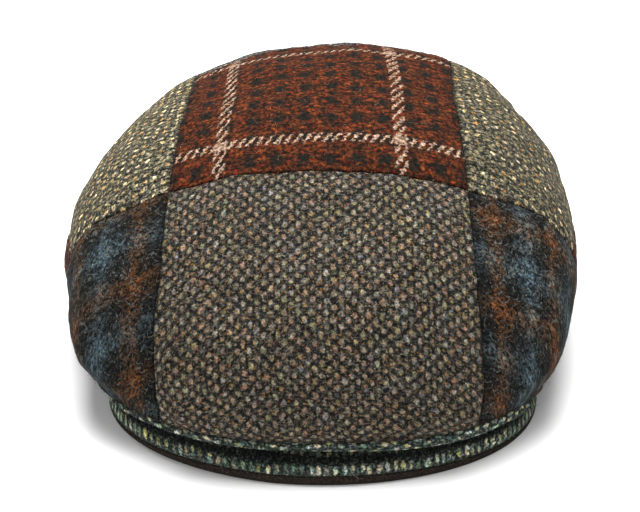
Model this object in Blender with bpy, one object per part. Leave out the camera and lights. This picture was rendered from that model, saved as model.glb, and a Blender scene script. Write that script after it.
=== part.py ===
"""A patchwork flat cap that lies on its own rim.

Metres, +Z up. The front, with the peak, faces -Y, and +X is to the right of
someone who looks at the front. The cap stands on z = 0, and the origin is the
middle of its footprint.

The crown is one hollow shell of cloth, cut along its seams into patches. Each
patch is a closed slab that bends with the crown. Below the front patches a
rolled strip of cloth closes the crown onto the peak, and the peak is two
layers: its cover, and the dark cloth below it.
"""
import math
from collections import namedtuple

import bmesh
import bpy
from mathutils import Vector

# Driving dimensions of the crown
crown_width = 0.228
crown_front = 0.1248        # from the head's middle to the fullest point in front
crown_back = 0.1306         # the same towards the back
crown_height = 0.111
crown_top_back = 0.0098     # how far behind the head's middle the highest point lies
rim_half_width = 0.087      # the head opening
rim_front = 0.126
rim_back = 0.116
lip_height = 0.0157         # lower edge of the front patches, above the peak

# Cloth
cloth = 0.0022
hem = 0.0036                # the folded edge all round the opening
seam_gap = 0.0005           # between two patches
seam_drop = 0.0008          # how far a patch rolls down into a seam
rest_gap = 0.0004           # between pieces that lie on each other

# Peak, and the strip that closes the crown onto it
peak_half_width = 0.0913
peak_root = 0.0616          # from the head's middle forward to the peak's ends
peak_aside = 0.0009         # the peak sits a little to the right
peak_overhang = 0.0062      # how far the peak stands out in front of the crown
peak_depth = 0.054          # from front to back, in the middle
peak_end_width = 0.0135
peak_stack = 0.0078         # height of the peak's top at the crown's front edge
peak_rise = 0.0135          # how much further the peak rises inside the crown
strip_depth = 0.0055
strip_drop = 0.0011         # the shadow gap between the strip's face and the peak
strip_roll = 0.0006         # how far the strip's face bulges

# Shares that shape the crown
bulge_reach = 0.82          # where the crown is fullest, as a share of the way to the rim
side_power = 0.708          # below 1 squares the outline off, 1 is an ellipse
front_power = 0.955
front_tuck = 0.9804         # the lip's outline, as a share of the crown's in front
tuck_high = 0.398           # how far the crown falls before it turns in under the bulge
tuck_low = 0.284            # and how far above the rim it is upright again
hem_start = 0.94            # share of the way to the rim where the hem begins
hem_full = 0.985
rim_edge = 0.9999           # from this share of the way on, a point lies on the rim itself
heart_back_share = 0.045    # the sags push away from here, as shares of the crown's
heart_up_share = 0.135      # length to the back and of its height
seam_cell_share = 0.4       # the cell beside a seam is this share of the others
lip_floor_turn = 0.069      # cosine of the turn where the lower edge reaches the floor
lip_full_turn = 1.012       # and of the one where it has its whole height
tuck_start = 0.257          # the same for the change from the rim's outline to the lip's
tuck_full = 0.68
split_taper = 0.7           # how much the cloth under the peak thins to its ends
peak_power = 0.826          # below 1 squares the peak's outline off
stack_power = 0.85          # how the peak's height and its further rise follow the
rise_power = 2              # height of the crown's lower edge over it
peak_end_turn = math.radians(80)
strip_end_turn = math.radians(68)

# The crown's three sections. bulge is the height of the fullest point as a
# share of the crown's height. steep is how much of that side stays upright,
# and flat is how much of the top stays level, as shares of the curve's reach.
Section = namedtuple("Section", "bulge steep flat")
FRONT = Section(bulge=0.205, steep=0.469, flat=0.501)
SIDE = Section(bulge=0.355, steep=0.546, flat=0.598)
BACK = Section(bulge=0.408, steep=0.556, flat=0.607)

# Soft dents (-) and sags (+) of the crown. across and along are shares of the
# way from its top to the rim, to the right and to the back. out is a share of
# the crown's height.
Sag = namedtuple("Sag", "across along spread out")
SAGS = [
    Sag(across=-0.48, along=0.19, spread=0.355, out=-0.049),
    Sag(across=0.48, along=0.19, spread=0.355, out=0.027),
    Sag(across=-0.62, along=0.0, spread=0.22, out=0.018),
    Sag(across=-0.72, along=-0.62, spread=0.20, out=0.060),
    Sag(across=0.72, along=-0.62, spread=0.20, out=0.037),
    Sag(across=0.28, along=0.30, spread=0.25, out=0.009),
    Sag(across=-0.15, along=0.33, spread=0.20, out=-0.014),
]

# The long seams on either side of the middle patches. along runs from -1 at
# the front rim to 1 at the back rim, and across is the seam's share of the
# way from the middle to the side.
SeamStop = namedtuple("SeamStop", "along across")
LONG_SEAM = [
    SeamStop(along=-1.0, across=0.622),
    SeamStop(along=-0.8, across=0.442),
    SeamStop(along=-0.5, across=0.307),
    SeamStop(along=-0.26, across=0.281),
    SeamStop(along=0.1, across=0.274),
    SeamStop(along=0.5, across=0.292),
    SeamStop(along=0.8, across=0.33),
    SeamStop(along=1.0, across=0.42),
]
# The other seams, on the same chart. The side seams step outward as they run
# back, and the front seam steps forward at both its ends.
side_seam_front_share = 0.67
side_seam_back_share = 0.76
side_step_start = -0.30
side_step_end = -0.02
front_seam_share = -0.266
front_seam_bend_share = 0.018
front_seam_end_share = 0.13
front_step_start = 0.52
front_step_end = 1.04
back_seam_share = 0.30
back_seam_slant_share = 0.10
shoulder_seam_share = 0.50
seam_aside_share = 0.009    # all seams lie a little to the left in the middle

# The peak's section, from its outer edge inward. inward is a share of its
# depth. under, split and top are heights of its underside, of the joint
# between its two layers and of its top, as shares of peak_stack, and rise is
# the share of peak_rise that has been reached.
PeakStop = namedtuple("PeakStop", "inward under split top rise")
PEAK_STOPS = [
    PeakStop(inward=0.0, under=0.0, split=0.52, top=0.70, rise=0.0),
    PeakStop(inward=0.018, under=0.0, split=0.53, top=0.80, rise=0.0),
    PeakStop(inward=0.06, under=0.06, split=0.50, top=0.90, rise=0.0),
    PeakStop(inward=0.12, under=0.26, split=0.51, top=1.0, rise=0.0),
    PeakStop(inward=0.24, under=0.40, split=0.62, top=1.0, rise=0.12),
    PeakStop(inward=0.48, under=0.40, split=0.62, top=1.0, rise=0.50),
    PeakStop(inward=0.74, under=0.40, split=0.62, top=1.0, rise=0.82),
    PeakStop(inward=1.0, under=0.42, split=0.62, top=0.96, rise=1.0),
]

# The strip's section: a face, and below it a recess over the peak. inward is a
# share of its depth and up of its height. skew is how much higher a stop lies on
# the left and lower on the right.
StripStop = namedtuple("StripStop", "inward up skew")
STRIP_STOPS = [
    StripStop(inward=0.06, up=0.40, skew=0.22),
    StripStop(inward=0.0, up=0.52, skew=0.17),
    StripStop(inward=0.0, up=0.70, skew=0.08),
    StripStop(inward=0.0, up=0.88, skew=0.0),
    StripStop(inward=0.12, up=1.0, skew=0.0),
    StripStop(inward=1.0, up=1.0, skew=0.0),
    StripStop(inward=1.0, up=0.0, skew=0.0),
    StripStop(inward=0.62, up=0.0, skew=0.0),
    StripStop(inward=0.55, up=0.30, skew=0.18),
]

peak_stations = 44
strip_stations = 40


def mix(start, end, share):
    return start + (end - start) * share


def smooth_step(value, low, high):
    share = min(max((value - low) / (high - low), 0.0), 1.0)
    return share * share * (3 - 2 * share)


def bezier(a, b, c, d, share):
    """A cubic curve from a to d, pulled towards b and c."""
    rest = 1 - share
    return rest ** 3 * a + 3 * rest ** 2 * share * b + 3 * rest * share ** 2 * c + share ** 3 * d


def by_side(turn, front, side, back):
    """Blends a value of the front, the side and the back section."""
    ahead = math.cos(turn)
    weight = ahead * ahead
    return (front if ahead > 0 else back) * weight + side * (1 - weight)


def oval(turn, half_width, front, back, across_power, ahead_power):
    """The outline at a turn from the front: an oval with squared-off corners."""
    x = half_width * math.copysign(abs(math.sin(turn)) ** across_power, math.sin(turn))
    ahead = math.cos(turn)
    y = -front * ahead ** ahead_power if ahead > 0 else -back * ahead
    return Vector((x, y, 0))


def lip_rise(turn):
    """Height of the crown's lower edge: on the floor, but lifted over the peak."""
    return lip_height * smooth_step(math.cos(turn), lip_floor_turn, lip_full_turn)


def rim_oval(turn, fullest):
    opening = oval(turn, rim_half_width, rim_front, rim_back, 1.0, 1.0)
    return opening.lerp(fullest * front_tuck, smooth_step(math.cos(turn), tuck_start, tuck_full))


def smooth_crown(turn, reach):
    """The crown without its sags. reach is 0 at the top and 1 at the rim."""
    fullest = oval(turn, crown_width / 2, crown_front, crown_back, side_power, front_power)
    bulge = crown_height * by_side(turn, FRONT.bulge, SIDE.bulge, BACK.bulge)
    if reach <= bulge_reach:
        steep = by_side(turn, FRONT.steep, SIDE.steep, BACK.steep)
        flat = by_side(turn, FRONT.flat, SIDE.flat, BACK.flat)
        share = reach / bulge_reach
        out = bezier(0, flat, 1, 1, share)
        up = bezier(1, 1, steep, 0, share)
        top = Vector((0, crown_top_back, 0))
        point = top.lerp(fullest, out)
        point.z = mix(bulge, crown_height, up)
        return point
    share = (reach - bulge_reach) / (1 - bulge_reach)
    rim = rim_oval(turn, fullest)
    low = lip_rise(turn)
    point = fullest.lerp(rim, bezier(0, 0, 1, 1, share))
    drop = bulge - low
    point.z = bezier(bulge, bulge - tuck_high * drop, low + tuck_low * drop, low, share)
    return point


def crown_point(turn, reach):
    point = smooth_crown(turn, reach)
    across = reach * math.sin(turn)
    along = -reach * math.cos(turn)
    amount = 0.0
    for sag in SAGS:
        away = (across - sag.across) ** 2 + (along - sag.along) ** 2
        amount += sag.out * math.exp(-away / sag.spread ** 2)
    heart = Vector((0, heart_back_share * crown_back, heart_up_share * crown_height))
    # they fade out towards the rim
    amount *= 1 - smooth_step(reach, bulge_reach, 1.0)
    return point + (point - heart).normalized() * (amount * crown_height)


def crown_normal(turn, reach):
    step = 0.004
    reach = max(reach, 2 * step)
    outward = crown_point(turn, reach) - crown_point(turn, reach - step)
    around = crown_point(turn + step, reach) - crown_point(turn - step, reach)
    return outward.cross(around).normalized()


def level(normal):
    return Vector((normal.x, normal.y, 0)).normalized()


def disc(across, along):
    """Turns a place on the square chart of patches into a turn and a reach."""
    across -= seam_aside_share * (1 - across * across)
    a = across * math.sqrt(1 - along * along / 2)
    b = along * math.sqrt(1 - across * across / 2)
    return math.atan2(a, -b), min(math.hypot(a, b), 1.0)


def long_seam_at(along):
    """The long seam between its stops, as a smooth curve through them."""
    stops = LONG_SEAM
    place = 0
    while place < len(stops) - 2 and along > stops[place + 1].along:
        place += 1
    before = stops[max(place - 1, 0)]
    here = stops[place]
    after = stops[place + 1]
    beyond = stops[min(place + 2, len(stops) - 1)]
    span = after.along - here.along
    share = min(max((along - here.along) / span, 0.0), 1.0)
    slope_here = (after.across - before.across) / (after.along - before.along) * span
    slope_after = (beyond.across - here.across) / (beyond.along - here.along) * span
    return bezier(here.across, here.across + slope_here / 3,
                  after.across - slope_after / 3, after.across, share)


# The lines that patches are cut along: across the chart, as a function of
# along, and along the chart, as a function of across.
ACROSS_LINES = {
    "rim": lambda along: 1.0,
    "bulge": lambda along: bulge_reach,
    "side_seam": lambda along: mix(side_seam_front_share, side_seam_back_share,
                                   smooth_step(along, side_step_start, side_step_end)),
    "long_seam": long_seam_at,
    "other_long_seam": lambda along: -long_seam_at(along),
}
ALONG_LINES = {
    "front_rim": lambda across: -1.0,
    "front_bulge": lambda across: -bulge_reach,
    "front_seam": lambda across: (
        front_seam_share + front_seam_bend_share * across * across
        - front_seam_end_share * smooth_step(across, front_step_start, front_step_end)),
    "back_seam": lambda across: back_seam_share + back_seam_slant_share * across,
    "shoulder_seam": lambda across: shoulder_seam_share,
    "back_bulge": lambda across: bulge_reach,
    "back_rim": lambda across: 1.0,
}

# Each patch: which side of the cap it lies on, the lines that it spans with
# the number of cells between them, and its cloth.
Patch = namedtuple("Patch", "name side across along tweed")
CENTRE = ["other_long_seam", 12, "long_seam"]
CORNER = ["long_seam", 5, "side_seam", 4, "bulge", 6, "rim"]
SHOULDER = ["long_seam", 5, "side_seam"]
EDGE = ["side_seam", 4, "bulge", 6, "rim"]
FRONT_ROWS = ["front_rim", 4, "front_bulge", 9, "front_seam"]
TOP_ROWS = ["front_seam", 8, "back_seam"]
BACK_ROWS = ["back_seam", 6, "back_bulge", 5, "back_rim"]
SHOULDER_ROWS = ["front_seam", 10, "shoulder_seam"]
CORNER_ROWS = ["shoulder_seam", 4, "back_bulge", 5, "back_rim"]
PATCHES = [
    Patch("patch_front_centre", 1, CENTRE, FRONT_ROWS, "barleycorn"),
    Patch("patch_front_left", -1, CORNER, FRONT_ROWS, "blue_check"),
    Patch("patch_front_right", 1, CORNER, FRONT_ROWS, "blue_check"),
    Patch("patch_top_centre", 1, CENTRE, TOP_ROWS, "rust_plaid"),
    Patch("patch_top_left", -1, SHOULDER, SHOULDER_ROWS, "olive"),
    Patch("patch_top_right", 1, SHOULDER, SHOULDER_ROWS, "olive"),
    Patch("patch_side_left", -1, EDGE, SHOULDER_ROWS, "rust_plaid"),
    Patch("patch_side_right", 1, EDGE, SHOULDER_ROWS, "rust_plaid"),
    Patch("patch_back_centre", 1, CENTRE, BACK_ROWS, "grey"),
    Patch("patch_back_left", -1, CORNER, CORNER_ROWS, "barleycorn"),
    Patch("patch_back_right", 1, CORNER, CORNER_ROWS, "blue_check"),
]

# Cloth colours, as linear red, green and blue
TWEEDS = {
    "barleycorn": (0.075, 0.062, 0.052),
    "blue_check": (0.045, 0.050, 0.060),
    "rust_plaid": (0.140, 0.036, 0.016),
    "olive": (0.125, 0.115, 0.078),
    "grey": (0.110, 0.110, 0.105),
    "green": (0.050, 0.060, 0.048),
    "dark_brown": (0.020, 0.014, 0.010),
}


def cloth_material(name, tweed):
    material = bpy.data.materials.new(name)
    material.use_nodes = True
    shader = material.node_tree.nodes["Principled BSDF"]
    shader.inputs["Base Color"].default_value = (*TWEEDS[tweed], 1.0)
    shader.inputs["Roughness"].default_value = 0.95
    shader.inputs["Metallic"].default_value = 0.0
    return material


def add_object(name, mesh_points, faces, tweed, parent):
    """A closed body from points and faces, with its faces turned outward."""
    bm = bmesh.new()
    verts = [bm.verts.new(point) for point in mesh_points]
    for face in faces:
        bm.faces.new([verts[index] for index in face])
    bmesh.ops.recalc_face_normals(bm, faces=bm.faces)
    mesh = bpy.data.meshes.new(name)
    bm.to_mesh(mesh)
    bm.free()
    mesh.shade_smooth()
    mesh.set_sharp_from_angle(angle=math.radians(40))
    mesh.materials.append(cloth_material(name, tweed))
    piece = bpy.data.objects.new(name, mesh)
    bpy.context.scene.collection.objects.link(piece)
    piece.parent = parent
    return piece


def split_quad(points, a, b, c, d):
    """Two triangles, cut along the shorter diagonal."""
    if (points[a] - points[c]).length <= (points[b] - points[d]).length:
        return [(a, b, c), (a, c, d)]
    return [(a, b, d), (b, c, d)]


def line_places(plan, lines):
    """The lines of a plan one by one: two named lines and a share between them.

    The cell beside a seam is narrower, so that the cloth rolls into it.
    """
    places = []
    for index in range(0, len(plan) - 1, 2):
        start, cells, end = plan[index:index + 3]
        widths = [1.0] * cells
        if start.endswith("seam") and cells > 1:
            widths[0] = seam_cell_share
        if end.endswith("seam") and cells > 1:
            widths[-1] = seam_cell_share
        passed = 0.0
        for width in widths:
            places.append((lines[start], lines[end], passed / sum(widths)))
            passed += width
    places.append((lines[plan[-3]], lines[plan[-1]], 1.0))
    return places


def chart_place(across_place, along_place):
    """Where one line across meets one line along."""
    left, right, across_share = across_place
    near, far, along_share = along_place
    across = 0.5
    along = 0.0
    for _ in range(12):
        across = mix(left(along), right(along), across_share)
        along = mix(near(across), far(across), along_share)
    return across, along


def patch_layers(patch):
    """The patch's outer and inner points, in rows from the front to the back."""
    columns = line_places(patch.across, ACROSS_LINES)
    rows = line_places(patch.along, ALONG_LINES)
    spots = [[disc(patch.side * across, along) for across, along in
              (chart_place(column, row) for column in columns)] for row in rows]
    base = [[crown_point(*spot) for spot in row] for row in spots]
    outer = []
    inner = []
    for j, row in enumerate(spots):
        outer_row = []
        inner_row = []
        for i, (turn, reach) in enumerate(row):
            point = base[j][i].copy()
            for neighbour in seam_neighbours(patch, base, j, i):
                point += (neighbour - base[j][i]).normalized() * (seam_gap / 2)
            at_seam = point != base[j][i]
            # the hem's lower edge is level, and doesn't roll into the seam
            drop = seam_drop if at_seam and reach < rim_edge else 0.0
            thick = mix(cloth, hem, smooth_step(reach, hem_start, hem_full))
            normal = crown_normal(turn, reach)
            across_cloth = normal if reach < rim_edge else level(normal)
            outer_row.append(point - normal * drop)
            inner_row.append(point - across_cloth * thick)
        outer.append(outer_row)
        inner.append(inner_row)
    return outer, inner


def seam_neighbours(patch, base, j, i):
    """The next points inward, for a point that lies on one or two seams."""
    found = []
    if i == 0 and patch.across[0].endswith("seam"):
        found.append(base[j][1])
    if i == len(base[0]) - 1 and patch.across[-1].endswith("seam"):
        found.append(base[j][i - 1])
    if j == 0 and patch.along[0].endswith("seam"):
        found.append(base[1][i])
    if j == len(base) - 1 and patch.along[-1].endswith("seam"):
        found.append(base[j - 1][i])
    return found


def build_patch(patch, parent):
    outer, inner = patch_layers(patch)
    rows = len(outer)
    columns = len(outer[0])
    points = [point for row in outer for point in row]
    points += [point for row in inner for point in row]
    inside = rows * columns

    def at(j, i):
        return j * columns + i

    faces = []
    for j in range(rows - 1):
        for i in range(columns - 1):
            corners = (at(j, i), at(j, i + 1), at(j + 1, i + 1), at(j + 1, i))
            for triangle in split_quad(points, *corners):
                faces.append(triangle)
                faces.append(tuple(index + inside for index in reversed(triangle)))
    border = [at(0, i) for i in range(columns)]
    border += [at(j, columns - 1) for j in range(1, rows)]
    border += [at(rows - 1, i) for i in range(columns - 2, -1, -1)]
    border += [at(j, 0) for j in range(rows - 2, 0, -1)]
    for here, after in zip(border, border[1:] + border[:1]):
        faces += split_quad(points, here, here + inside, after + inside, after)
    return add_object(patch.name, points, faces, patch.tweed, parent)


def peak_line(turn, inward):
    """A place on the peak in plan: inward is 0 at its edge and 1 inside the cap."""
    outer_length = crown_front * front_tuck + peak_overhang - peak_root
    inner_length = outer_length - peak_depth
    half_width = peak_half_width - peak_end_width * inward
    length = mix(outer_length, inner_length, inward)
    x = half_width * math.sin(turn) + peak_aside
    return Vector((x, -peak_root - length * math.cos(turn) ** peak_power, 0))


def lip_crossing(turn):
    """Where the crown's lower edge crosses the peak's line at this turn.

    Gives the share of the way inward, and the lower edge's own turn.
    """
    start = peak_line(turn, 0)
    line = peak_line(turn, 1) - start
    low = -math.radians(75)
    high = math.radians(75)
    for _ in range(50):
        middle = (low + high) / 2
        off = crown_point(middle, 1.0) - start
        if line.x * off.y > line.y * off.x:
            low = middle
        else:
            high = middle
    off = crown_point(low, 1.0) - start
    return (off.x * line.x + off.y * line.y) / (line.x ** 2 + line.y ** 2), low


def nearest_lip_turn(point, guess):
    """The turn at which the crown's lower edge comes nearest to a point in plan."""
    low = guess - 0.25
    high = guess + 0.25
    for _ in range(40):
        first = mix(low, high, 0.4)
        second = mix(low, high, 0.6)
        first_away = (crown_point(first, 1.0) - point).xy.length
        second_away = (crown_point(second, 1.0) - point).xy.length
        if first_away < second_away:
            high = second
        else:
            low = first
    return low


def layer_share(stop, layer, turn):
    """A height of the peak's section. The cloth under the peak thins to its ends."""
    if layer == "split":
        return mix(stop.split, stop.under, split_taper * math.sin(turn) ** 2)
    return getattr(stop, layer)


def peak_height(turn, inward, layer):
    """Height of one layer of the peak: under, split or top.

    It is in keeping with the crown's lower edge nearest to that place, so the
    peak thins towards its ends as that edge comes down.
    """
    place = 0
    while place < len(PEAK_STOPS) - 2 and inward > PEAK_STOPS[place + 1].inward:
        place += 1
    here = PEAK_STOPS[place]
    after = PEAK_STOPS[place + 1]
    share = (inward - here.inward) / (after.inward - here.inward)
    nearest = nearest_lip_turn(peak_line(turn, inward), lip_crossing(turn)[1])
    lift = lip_rise(nearest) / lip_height
    height = mix(layer_share(here, layer, turn), layer_share(after, layer, turn), share) * peak_stack
    rise = mix(here.rise, after.rise, share) * peak_rise
    return height * lift ** stack_power + rise * lift ** rise_power


def swept(name, rings, tweed, parent):
    """A closed body through rings of points, with a flat cap at either end."""
    points = [point for ring in rings for point in ring]
    count = len(rings[0])
    faces = []
    for ring in range(len(rings) - 1):
        for index in range(count):
            after = (index + 1) % count
            corners = (ring * count + index, ring * count + after,
                       (ring + 1) * count + after, (ring + 1) * count + index)
            faces += split_quad(points, *corners)
    faces.append(tuple(range(count)))
    faces.append(tuple(len(points) - count + index for index in reversed(range(count))))
    return add_object(name, points, faces, tweed, parent)


def peak_ring(turn, lower, upper, lower_gap):
    """One ring of a layer of the peak, between two heights of its section."""
    bottom = []
    top = []
    for stop in PEAK_STOPS:
        low = peak_line(turn, stop.inward)
        high = low.copy()
        low.z = peak_height(turn, stop.inward, lower) + lower_gap
        high.z = peak_height(turn, stop.inward, upper)
        bottom.append(low)
        top.append(high)
    return bottom + top[::-1]


def build_peak(parent):
    turns = [mix(-peak_end_turn, peak_end_turn, index / peak_stations)
             for index in range(peak_stations + 1)]
    cover = [peak_ring(turn, "split", "top", rest_gap) for turn in turns]
    under = [peak_ring(turn, "under", "split", 0.0) for turn in turns]
    swept("peak", cover, "green", parent)
    swept("peak_underside", under, "dark_brown", parent)


def strip_ring(turn):
    """The rolled strip between the crown's lower edge and the peak."""
    crossing, lip_turn = lip_crossing(turn)
    line = peak_line(turn, 1) - peak_line(turn, 0)
    lift = lip_rise(lip_turn) / lip_height
    ring = []
    for stop in STRIP_STOPS:
        up = stop.up - stop.skew * math.sin(turn)
        roll = strip_roll * math.sin(math.pi * up) if stop.inward == 0 else 0.0
        back = stop.inward * strip_depth - roll
        inward = crossing + back / line.length
        point = peak_line(turn, inward)
        low = peak_height(turn, inward, "top") + rest_gap
        low += (1 - stop.inward) * strip_drop * lift
        high = lip_rise(nearest_lip_turn(point, lip_turn)) - rest_gap * (1 + stop.inward)
        point.z = mix(low, high, up)
        ring.append(point)
    return ring


def build_strip(parent):
    turns = [mix(-strip_end_turn, strip_end_turn, index / strip_stations)
             for index in range(strip_stations + 1)]
    swept("front_facing", [strip_ring(turn) for turn in turns], "green", parent)


def build_cap():
    for old in list(bpy.data.objects):
        bpy.data.objects.remove(old, do_unlink=True)
    cap = bpy.data.objects.new("cap", None)
    bpy.context.scene.collection.objects.link(cap)
    front_reach = crown_front * front_tuck + peak_overhang
    cap.location = (0, (front_reach - crown_back) / 2, 0)
    for patch in PATCHES:
        build_patch(patch, cap)
    build_strip(cap)
    build_peak(cap)


build_cap()
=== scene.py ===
"""The looks of a patchwork flat cap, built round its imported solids.

The crown follows the same formulas as the solids, in metres, and each patch is
modelled again on it as a fine closed shell of cloth with rolled seams, soft
dents and a folded hem. The strip over the peak, the peak's cover and the cloth
under it are swept along the same edges. Every weave is worked out from a
place's own coordinates on its cloth, in millimetres.
"""
from collections import namedtuple
from math import cos, pi, radians, sin

import bmesh
import bpy
import numpy as np
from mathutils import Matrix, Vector


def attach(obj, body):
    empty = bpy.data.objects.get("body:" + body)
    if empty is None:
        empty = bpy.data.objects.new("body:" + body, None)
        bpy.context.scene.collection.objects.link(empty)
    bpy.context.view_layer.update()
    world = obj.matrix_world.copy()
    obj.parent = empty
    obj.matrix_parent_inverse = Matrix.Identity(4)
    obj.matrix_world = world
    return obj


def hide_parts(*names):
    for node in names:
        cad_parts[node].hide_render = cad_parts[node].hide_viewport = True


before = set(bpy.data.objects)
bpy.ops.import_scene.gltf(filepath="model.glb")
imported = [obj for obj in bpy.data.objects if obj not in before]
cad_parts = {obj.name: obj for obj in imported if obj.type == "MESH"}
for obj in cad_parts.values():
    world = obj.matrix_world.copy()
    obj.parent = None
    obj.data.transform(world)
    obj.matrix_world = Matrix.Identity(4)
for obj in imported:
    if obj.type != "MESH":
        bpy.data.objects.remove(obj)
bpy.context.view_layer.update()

MM = 0.001

# Driving dimensions of the crown, as in the solids
crown_width = 0.228
crown_front = 0.1248
crown_back = 0.1306
crown_height = 0.111
crown_top_back = 0.0098
rim_half_width = 0.087
rim_front = 0.126
rim_back = 0.116
lip_height = 0.0157
cloth = 0.0022
hem = 0.0036
rest_gap = 0.0004

# Peak and strip
peak_half_width = 0.0913
peak_root = 0.0616
peak_aside = 0.0009
peak_overhang = 0.0062
peak_depth = 0.054
peak_end_width = 0.0135
peak_stack = 0.0078
peak_rise = 0.0135
strip_depth = 0.0055
strip_drop = 0.0011
strip_roll = 0.0006

# Shares that shape the crown
bulge_reach = 0.82
side_power = 0.708
front_power = 0.955
front_tuck = 0.9804
tuck_high = 0.398
tuck_low = 0.284
hem_start = 0.94
hem_full = 0.985
rim_edge = 0.9999
heart_back_share = 0.045
heart_up_share = 0.135
lip_floor_turn = 0.069
lip_full_turn = 1.012
tuck_start = 0.257
tuck_full = 0.68
split_taper = 0.7
peak_power = 0.826
stack_power = 0.85
rise_power = 2
peak_end_turn = radians(80)
strip_end_turn = radians(68)

# Each table's rows give their fields in the order of the line above them
Section = namedtuple("Section", "bulge steep flat")
FRONT = Section(0.205, 0.469, 0.501)
SIDE = Section(0.355, 0.546, 0.598)
BACK = Section(0.408, 0.556, 0.607)

Sag = namedtuple("Sag", "across along spread out")
SAGS = [
    Sag(-0.48, 0.19, 0.355, -0.049),
    Sag(0.48, 0.19, 0.355, 0.027),
    Sag(-0.62, 0.0, 0.22, 0.018),
    Sag(-0.72, -0.62, 0.20, 0.060),
    Sag(0.72, -0.62, 0.20, 0.037),
    Sag(0.28, 0.30, 0.25, 0.009),
    Sag(-0.15, 0.33, 0.20, -0.014),
]

SeamStop = namedtuple("SeamStop", "along across")
LONG_SEAM = [
    SeamStop(-1.0, 0.622),
    SeamStop(-0.8, 0.442),
    SeamStop(-0.5, 0.307),
    SeamStop(-0.26, 0.281),
    SeamStop(0.1, 0.274),
    SeamStop(0.5, 0.292),
    SeamStop(0.8, 0.33),
    SeamStop(1.0, 0.42),
]
side_seam_front_share = 0.67
side_seam_back_share = 0.76
side_step_start = -0.30
side_step_end = -0.02
front_seam_share = -0.266
front_seam_bend_share = 0.018
front_seam_end_share = 0.13
front_step_start = 0.52
front_step_end = 1.04
back_seam_share = 0.30
back_seam_slant_share = 0.10
shoulder_seam_share = 0.50
seam_aside_share = 0.009

PeakStop = namedtuple("PeakStop", "inward under split top rise")
PEAK_STOPS = [
    PeakStop(0.0, 0.0, 0.52, 0.70, 0.0),
    PeakStop(0.018, 0.0, 0.53, 0.80, 0.0),
    PeakStop(0.06, 0.06, 0.50, 0.90, 0.0),
    PeakStop(0.12, 0.26, 0.51, 1.0, 0.0),
    PeakStop(0.24, 0.40, 0.62, 1.0, 0.12),
    PeakStop(0.48, 0.40, 0.62, 1.0, 0.50),
    PeakStop(0.74, 0.40, 0.62, 1.0, 0.82),
    PeakStop(1.0, 0.42, 0.62, 0.96, 1.0),
]
StripStop = namedtuple("StripStop", "inward up skew")
STRIP_STOPS = [
    StripStop(0.06, 0.40, 0.22),
    StripStop(0.0, 0.52, 0.17),
    StripStop(0.0, 0.70, 0.08),
    StripStop(0.0, 0.88, 0.0),
    StripStop(0.12, 1.0, 0.0),
    StripStop(1.0, 1.0, 0.0),
    StripStop(1.0, 0.0, 0.0),
    StripStop(0.62, 0.0, 0.0),
    StripStop(0.55, 0.30, 0.18),
]

# The origin is the middle of the footprint, a little off the head's middle.
origin_shift = (crown_front * front_tuck + peak_overhang - crown_back) / 2

# Fine modelling of the cloth
cell = 0.9 * MM              # a mesh cell in the open cloth
edge_cell = 0.28 * MM        # and beside a seam
cell_growth = 1.35
seam_half_gap = 0.04 * MM
crease_width = 0.9 * MM      # how far the cloth's edge curls down into a seam
crease_depth = 0.5 * MM
dip_width = 4.5 * MM         # the wider dip along a seam
dip_depth = 0.55 * MM
pucker_pitch = 8 * MM
pucker_share = 0.45
hem_round = 0.7 * MM
rim_shade_stretch = 3.0      # the painted shade beside the lower edge is so much wider than beside a seam
no_seam_near = 1000.0        # a distance in millimetres, for cloth with no seam
soft_dent_depth = 0.45 * MM
fine_dent_depth = 0.09 * MM
dent_fade_start = 0.93       # the reach from which dents and seams fade out towards the rim
hem_corner = 0.16            # the share of the hem's thickness that each rounded corner takes
corner_cut = 0.25
peak_stations = 261
strip_stations = 321
patch_sharp = radians(55)
swept_sharp = radians(60)

# How finely places are searched for
normal_step = 0.004
chart_rounds = 14
seam_probes = 600
crossing_rounds = 50
crossing_end_turn = radians(75)
nearest_rounds = 40
nearest_turn_range = 0.25

# The lip and the peak curl up a little at the front left corner
corner_lift = 1.7 * MM
corner_start = radians(8)
corner_end = radians(74)
corner_low = 12 * MM
corner_high = 42 * MM

# Loose fibres that stand off the cloth
fibre_area = 16.0 * MM * MM  # one fibre for each such piece of cloth
fibre_shortest = 0.8 * MM
fibre_longest = 3.6 * MM
fibre_thinnest = 0.035 * MM  # radius at the root
fibre_thickest = 0.06 * MM
fibre_tip = 0.35             # radius at the tip, as a share of that at the root
fibre_low_rise = 0.1         # rise and curl are shares of a fibre's length
fibre_high_rise = 0.6
fibre_arch = 2.4             # how far along its arch a fibre goes, in radians
fibre_curl = 0.8
fibre_stations = 6
fibre_sides = 3
fibre_floor_gap = 0.05 * MM


def mix(start, end, share):
    return start + (end - start) * share


def smooth_step(value, low, high):
    share = np.clip((value - low) / (high - low), 0.0, 1.0)
    return share * share * (3 - 2 * share)


def bezier(a, b, c, d, share):
    rest = 1 - share
    return rest ** 3 * a + 3 * rest ** 2 * share * b + 3 * rest * share ** 2 * c + share ** 3 * d


def by_side(turn, front, side, back):
    ahead = np.cos(turn)
    weight = ahead * ahead
    return np.where(ahead > 0, front, back) * weight + side * (1 - weight)


def oval(turn, half_width, front, back, across_power, ahead_power):
    sine = np.sin(turn)
    ahead = np.cos(turn)
    x = half_width * np.sign(sine) * np.abs(sine) ** across_power
    y = np.where(ahead > 0, -front * np.abs(ahead) ** ahead_power, -back * ahead)
    return np.stack([x, y, np.zeros_like(x)], axis=-1)


def lip_rise(turn):
    return lip_height * smooth_step(np.cos(turn), lip_floor_turn, lip_full_turn)


def rim_oval(turn, fullest):
    opening = oval(turn, rim_half_width, rim_front, rim_back, 1.0, 1.0)
    share = smooth_step(np.cos(turn), tuck_start, tuck_full)[..., None]
    return mix(opening, fullest * front_tuck, share)


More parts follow.
